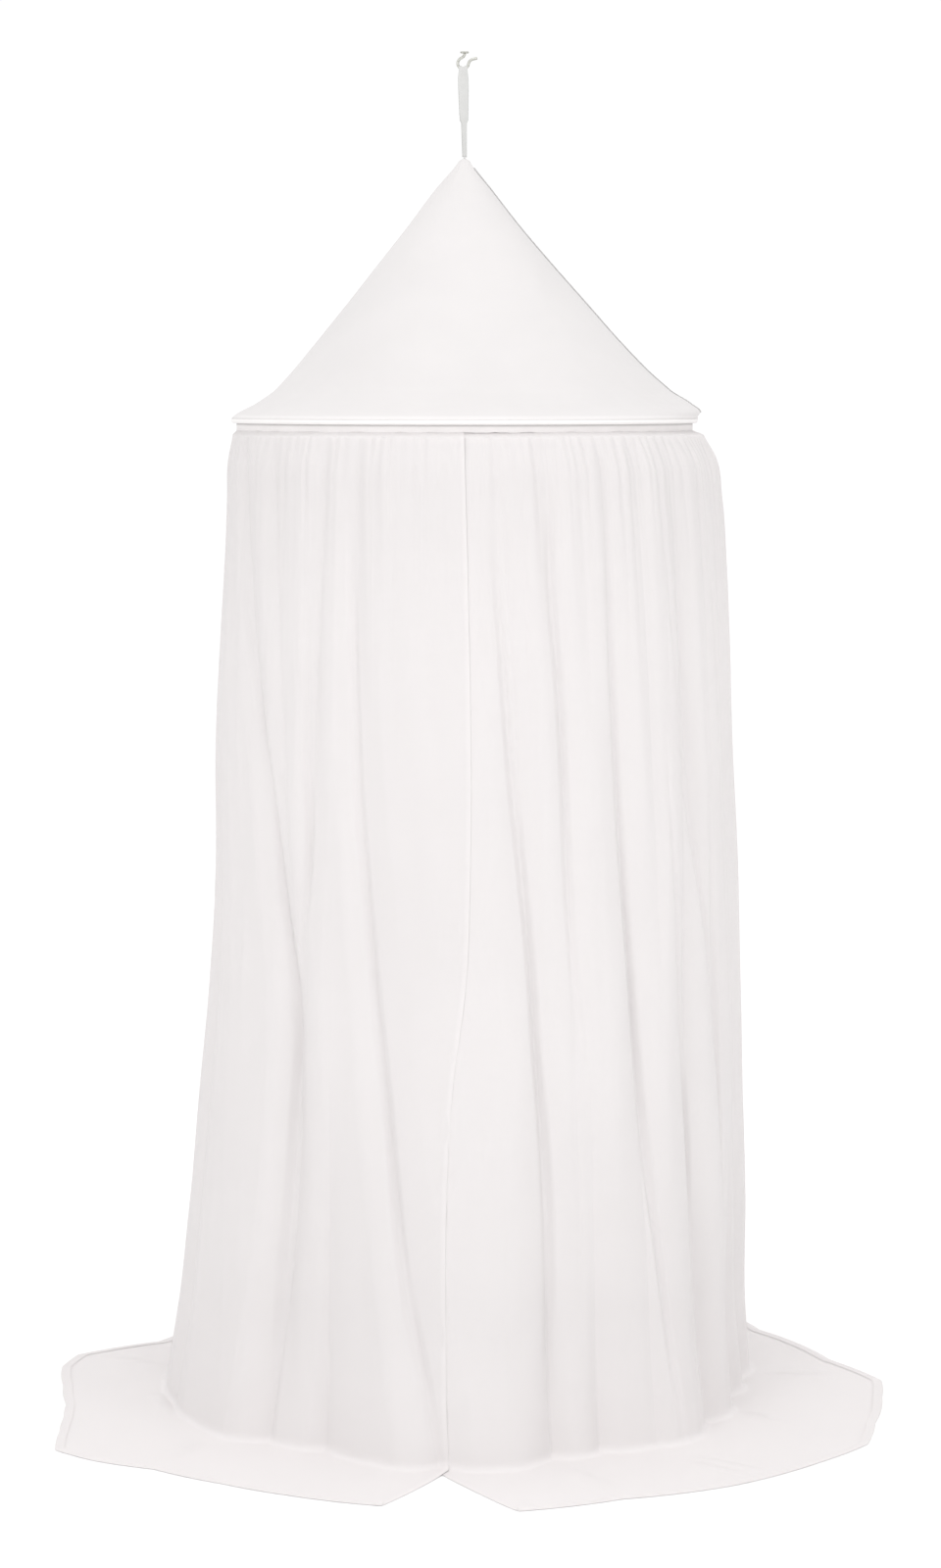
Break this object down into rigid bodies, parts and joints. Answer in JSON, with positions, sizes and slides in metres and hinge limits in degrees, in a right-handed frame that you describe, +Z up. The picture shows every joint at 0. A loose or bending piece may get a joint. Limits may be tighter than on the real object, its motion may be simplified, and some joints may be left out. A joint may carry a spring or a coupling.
{
  "type": "mosquito net canopy with hoop and ceiling hook",
  "caption": "Round bed canopy: a cloth cone over a hoop, hung from a ceiling hook by a tape, with a gathered net skirt that overlaps at the front and spreads on the floor.",
  "frame": {"origin": "middle of the ceiling hook's flange, on the face that meets the ceiling", "axes": "+Z up to the ceiling, -Y out of the skirt's overlap towards the viewer, +X to the viewer's right"},
  "size_m": [1.5147, 1.4625, 2.4],
  "materials": {
    "roof_fabric": "close plain weave, white",
    "casing_fabric": "the roof's cloth, folded and stitched",
    "heading_tape": "narrow woven cotton tape, white",
    "net": "fine sheer polyester net, white",
    "webbing": "flat woven webbing, off-white",
    "hook_steel": "plated wire, dull grey",
    "hoop_rod": "plain round rod, hidden in its casing"
  },
  "bodies": {
    "root": {"ceiling_hook": "hook_steel", "hanging_loop": "webbing", "roof_cloth": "roof_fabric", "rim_casing": "casing_fabric", "hoop": "hoop_rod", "heading_tape": "heading_tape", "net_skirt": "net"}
  },
  "joints": []
}
